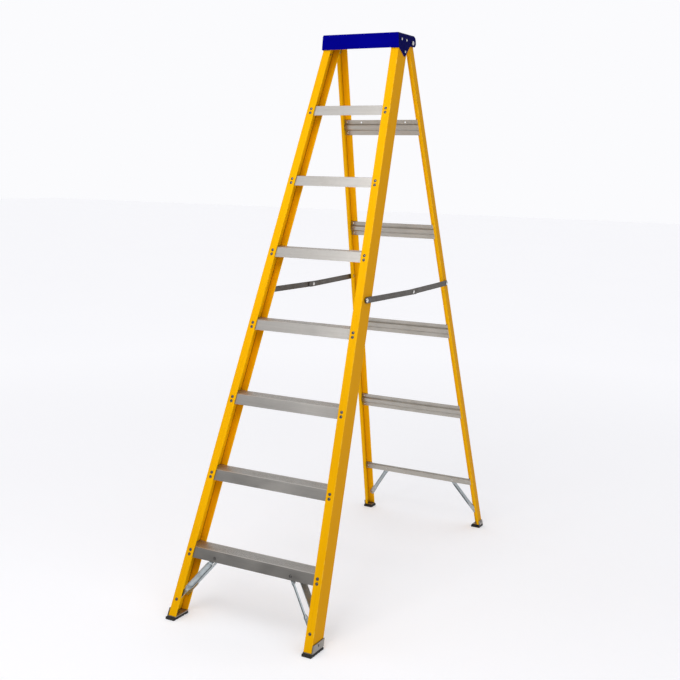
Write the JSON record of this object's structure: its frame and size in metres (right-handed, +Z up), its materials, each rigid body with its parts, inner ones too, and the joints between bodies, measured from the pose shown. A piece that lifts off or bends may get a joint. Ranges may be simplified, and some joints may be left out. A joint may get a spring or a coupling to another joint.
{
  "type": "step ladder",
  "caption": "Folding step ladder with channel stiles, ribbed treads, a top cap, a braced rear frame and folding side spreaders.",
  "frame": {"origin": "on the floor, at the centre of the box around the open ladder", "axes": "+Z up; +X across the ladder, to the climber's right; +Y from the treads towards the rear frame"},
  "size_m": [0.5344, 1.39, 1.87],
  "materials": {
    "yellow_fibreglass": "pultruded glass-fibre, satin",
    "blue_cap": "moulded, satin",
    "ribbed_aluminium": "mill finish, ribbed",
    "bar_aluminium": "mill finish",
    "foot_plate": "mill finish, scuffed",
    "galvanised_steel": "zinc plated",
    "spreader_steel": "zinc plated, dulled",
    "rivet_steel": "bright",
    "black_rubber": "ribbed"
  },
  "bodies": {
    "front_frame": {"front_stile_left": "yellow_fibreglass", "cap_rivet_left_1": "rivet_steel", "cap_rivet_left_2": "rivet_steel", "cap_rivet_left_3": "rivet_steel", "hinge_bolt_left": "rivet_steel", "spreader_front_pin_left": "rivet_steel", "front_shoe_left": "foot_plate", "front_sole_left": "black_rubber", "front_brace_left": "galvanised_steel", "inner_brace_left": "galvanised_steel", "front_stile_right": "yellow_fibreglass", "cap_rivet_right_1": "rivet_steel", "cap_rivet_right_2": "rivet_steel", "cap_rivet_right_3": "rivet_steel", "hinge_bolt_right": "rivet_steel", "spreader_front_pin_right": "rivet_steel", "front_shoe_right": "foot_plate", "front_sole_right": "black_rubber", "front_brace_right": "galvanised_steel", "inner_brace_right": "galvanised_steel", "top_cap": "blue_cap", "tread_1": "ribbed_aluminium", "tread_2": "ribbed_aluminium", "tread_3": "ribbed_aluminium", "tread_4": "ribbed_aluminium", "tread_5": "ribbed_aluminium", "tread_6": "ribbed_aluminium", "tread_7": "ribbed_aluminium"},
    "rear_frame": {"rear_stile_left": "yellow_fibreglass", "hinge_plate_left": "galvanised_steel", "spreader_rear_pin_left": "rivet_steel", "rear_shoe_left": "foot_plate", "rear_sole_left": "black_rubber", "rear_brace_left": "galvanised_steel", "rear_stile_right": "yellow_fibreglass", "hinge_plate_right": "galvanised_steel", "spreader_rear_pin_right": "rivet_steel", "rear_shoe_right": "foot_plate", "rear_sole_right": "black_rubber", "rear_brace_right": "galvanised_steel", "rear_bar_1": "bar_aluminium", "rear_bar_2": "bar_aluminium", "rear_bar_3": "bar_aluminium", "rear_bar_4": "bar_aluminium", "rear_bar_5": "bar_aluminium"},
    "front_link_left": {"spreader_front_link_left": "spreader_steel", "spreader_mid_rivet_left": "rivet_steel"},
    "rear_link_left": {"spreader_rear_link_left": "spreader_steel", "spreader_mid_tail_left": "rivet_steel"},
    "front_link_right": {"spreader_front_link_right": "spreader_steel", "spreader_mid_rivet_right": "rivet_steel"},
    "rear_link_right": {"spreader_rear_link_right": "spreader_steel", "spreader_mid_tail_right": "rivet_steel"}
  },
  "joints": [
    {"name": "rear_frame_fold", "type": "hinge", "parent": "front_frame", "child": "rear_frame", "pos_m": [0, 0.13, 1.8445], "axis": [1, 0, 0], "range_deg": [-36, 0]},
    {"name": "front_link_fold_left", "type": "hinge", "parent": "front_frame", "child": "front_link_left", "pos_m": [-0.2, -0.2671, 1.0116], "axis": [1, 0, 0], "range_deg": [0, 62]},
    {"name": "rear_link_fold_left", "type": "hinge", "parent": "rear_frame", "child": "rear_link_left", "pos_m": [-0.2, 0.3754, 1.0132], "axis": [1, 0, 0], "range_deg": [-69, 0]},
    {"name": "front_link_fold_right", "type": "hinge", "parent": "front_frame", "child": "front_link_right", "pos_m": [0.2, -0.2671, 1.0116], "axis": [1, 0, 0], "range_deg": [0, 62]},
    {"name": "rear_link_fold_right", "type": "hinge", "parent": "rear_frame", "child": "rear_link_right", "pos_m": [0.2, 0.3754, 1.0132], "axis": [1, 0, 0], "range_deg": [-69, 0]}
  ],
  "couplings": [
    {"joint": "front_link_fold_left", "follows": "rear_frame_fold", "ratio": -1.6956},
    {"joint": "rear_link_fold_left", "follows": "rear_frame_fold", "ratio": 1.8839},
    {"joint": "front_link_fold_right", "follows": "rear_frame_fold", "ratio": -1.6956},
    {"joint": "rear_link_fold_right", "follows": "rear_frame_fold", "ratio": 1.8839}
  ]
}
